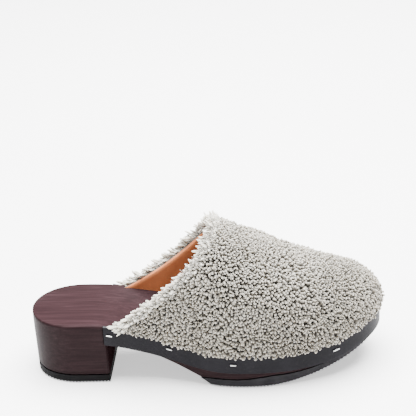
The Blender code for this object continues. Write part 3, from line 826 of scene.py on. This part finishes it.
def fringe(look, dice):
    """Longer locks that splay back from the collar edge, painted pale as painted light."""
    turns = np.linspace(0.0, math.pi, 2000)
    edge = shell(turns, nominal_at(turns, 0.0), ROOT_OFFSET)
    run = np.concatenate([[0.0], np.cumsum(np.linalg.norm(np.diff(edge, axis=0), axis=1))])
    parts = []
    for set_back, pull, lift in FRINGE_ROWS:
        count = int(run[-1] / FRINGE_SPACING)
        along = np.clip((np.arange(count) + dice.uniform(0.1, 0.9, count)) * FRINGE_SPACING, 0, run[-1])
        turn = np.interp(along, run, turns)
        share = np.full(count, 1e-4) + set_back / (SOLE_LENGTH - collar_station(turn)) / TOE_CROWDING
        offset = mix(RIM_OFFSET, ROOT_OFFSET, dice.uniform(0.3, 1.0, count))
        roots = shell(turn, nominal_at(turn, share), offset)
        normal = shell_normal(turn, share, ROOT_OFFSET)
        back = np.stack([-np.ones(count), np.zeros(count), 0.25 * np.sin(turn)], axis=1)
        ahead = unit(back * pull + normal * lift + dice.normal(0, 0.23, (count, 3)))
        ends = np.exp(-(np.minimum(turn, math.pi - turn) / 0.22) ** 2)
        clump = np.array([noise.noise(Vector(root) * 130.0) for root in roots])
        lengths = FRINGE_LENGTH * dice.uniform(0.65, 1.15, count) * (1 + 0.20 * ends + 0.45 * clump)
        lengths *= np.where(turn > math.pi / 2, 1.30, 1.08)
        radii = FRINGE_RADIUS * dice.uniform(0.75, 1.2, count)
        bends = dice.normal(0, 0.0007, (count, 3))
        parts.append((roots, ahead * lengths[:, None], radii, bends))
    roots, heads, radii, bends = (np.concatenate(values) for values in zip(*parts))
    # Painted light: the fringe takes the pale end of the wool's colours all along its locks, and a high tone.
    points, faces, rise, tone = tuft_mesh(roots, heads, radii, bends, dice.uniform(0.85, 1.0, len(roots)), dice)
    piece = add_piece("collar_fringe", points, faces, look, {"rise": mix(0.90, 1.0, rise), "tone": tone})
    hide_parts("upper")
    hairs(look, dice, run, turns)


def hairs(look, dice, run, turns):
    """Fine loose hairs that stand off the fringe."""
    turn = np.interp(dice.random(HAIR_COUNT) * run[-1], run, turns)
    share = 1e-4 + dice.uniform(0, 0.0030, HAIR_COUNT) / (SOLE_LENGTH - collar_station(turn))
    roots = shell(turn, nominal_at(turn, share), ROOT_OFFSET)
    normal = shell_normal(turn, share, ROOT_OFFSET)
    back = np.stack([-np.ones(HAIR_COUNT), np.zeros(HAIR_COUNT), 0.25 * np.sin(turn)], axis=1)
    ahead = unit(back * 0.8 + normal * 0.8 + dice.normal(0, 0.35, (HAIR_COUNT, 3)))
    lengths = HAIR_LENGTH * dice.uniform(0.6, 1.2, HAIR_COUNT)
    radii = np.full(HAIR_COUNT, HAIR_RADIUS)
    bends = dice.normal(0, 0.0011, (HAIR_COUNT, 3))
    points, faces, rise, tone = tuft_mesh(roots, ahead * lengths[:, None], radii, bends,
                                          np.ones(HAIR_COUNT), dice, sides=3)
    # Painted light: the hairs also take the pale end of the wool's colours, and full tone.
    piece = add_piece("collar_hairs", points, faces, look, {"rise": mix(0.9, 1.0, rise), "tone": tone})
    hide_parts("upper")


# Camera, lights and floor

def set_camera():
    azimuth, elevation = math.radians(VIEW_AZIMUTH), math.radians(VIEW_ELEVATION)
    back = Vector((math.sin(azimuth) * math.cos(elevation), -math.cos(azimuth) * math.cos(elevation),
                   math.sin(elevation)))
    lens = bpy.data.cameras.new("view")
    camera = bpy.data.objects.new("view", lens)
    bpy.context.scene.collection.objects.link(camera)
    turned = back.to_track_quat("Z", "Y").to_matrix().to_4x4()
    camera.matrix_world = (Matrix.Translation(VIEW_TARGET + back * VIEW_DISTANCE) @ turned
                           @ Matrix.Rotation(math.radians(VIEW_ROLL), 4, "Z"))
    lens.sensor_width = SENSOR
    lens.lens = LENS
    lens.shift_x = SHIFT_X
    lens.shift_y = SHIFT_Y
    lens.clip_start = 0.05
    bpy.context.scene.camera = camera


def add_light(name, spot, aim, size, power, colour=(1, 1, 1)):
    lamp = bpy.data.lights.new(name, "AREA")
    lamp.shape = "DISK"
    lamp.size = size
    lamp.energy = power
    lamp.color = colour
    light = bpy.data.objects.new(name, lamp)
    bpy.context.scene.collection.objects.link(light)
    light.location = spot
    light.rotation_euler = (Vector(spot) - Vector(aim)).to_track_quat("Z", "Y").to_euler()


def set_studio():
    world = bpy.data.worlds.new("studio")
    bpy.context.scene.world = world
    world.use_nodes = True
    world.node_tree.nodes["Background"].inputs["Color"].default_value = (1.0, 1.0, 1.0, 1.0)
    world.node_tree.nodes["Background"].inputs["Strength"].default_value = 0.7
    add_light("overhead", (0.20, 0.28, 1.50), (0.1, 0, 0.0), 1.9, 255.0)
    reach = 3.0
    floor = add_floor(reach)


def add_floor(reach):
    mesh = bpy.data.meshes.new("floor")
    corners = [(-reach, -reach, 0), (reach, -reach, 0), (reach, reach, 0), (-reach, reach, 0)]
    mesh.from_pydata(corners, [], [(0, 1, 2, 3)])
    mesh.materials.append(floor_material())
    floor = bpy.data.objects.new("floor", mesh)
    bpy.context.scene.collection.objects.link(floor)
    floor.location.z = -0.0002
    return floor


def repaint(node, look):
    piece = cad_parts[node]
    piece.data.materials.clear()
    piece.data.materials.append(look)


def main():
    set_camera()
    set_studio()
    dice = np.random.default_rng(SEED)
    band, steel = band_material(), steel_material()
    wool, lining = wool_material(), lining_material()
    wooden_base(wood_material("stained_wood", 0.5, 0.035), wood_material("wood_heel_front", 0.85, 0.0))
    # Both treads are one rubber: the forefoot is painted lighter as painted light from the floor, and the heel
    # darker as painted shade.
    treads(rubber_material("heel_rubber", 0.0028), rubber_material("forefoot_rubber", 0.014))
    welt_band(band)
    for side in ("lateral", "medial"):
        for number in range(1, 5):
            repaint(f"staple_{side}_{number}", steel)
    inside = wall_sheet("lining", 0.0, lining, True, rim=(RIM_OFFSET, 0.0))
    outside = wall_sheet("fleece_ground", ROOT_OFFSET, wool, False, rim=(RIM_OFFSET, ROOT_OFFSET))
    for piece in (inside, outside):
        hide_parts("upper")
    fleece(wool, dice)


main()
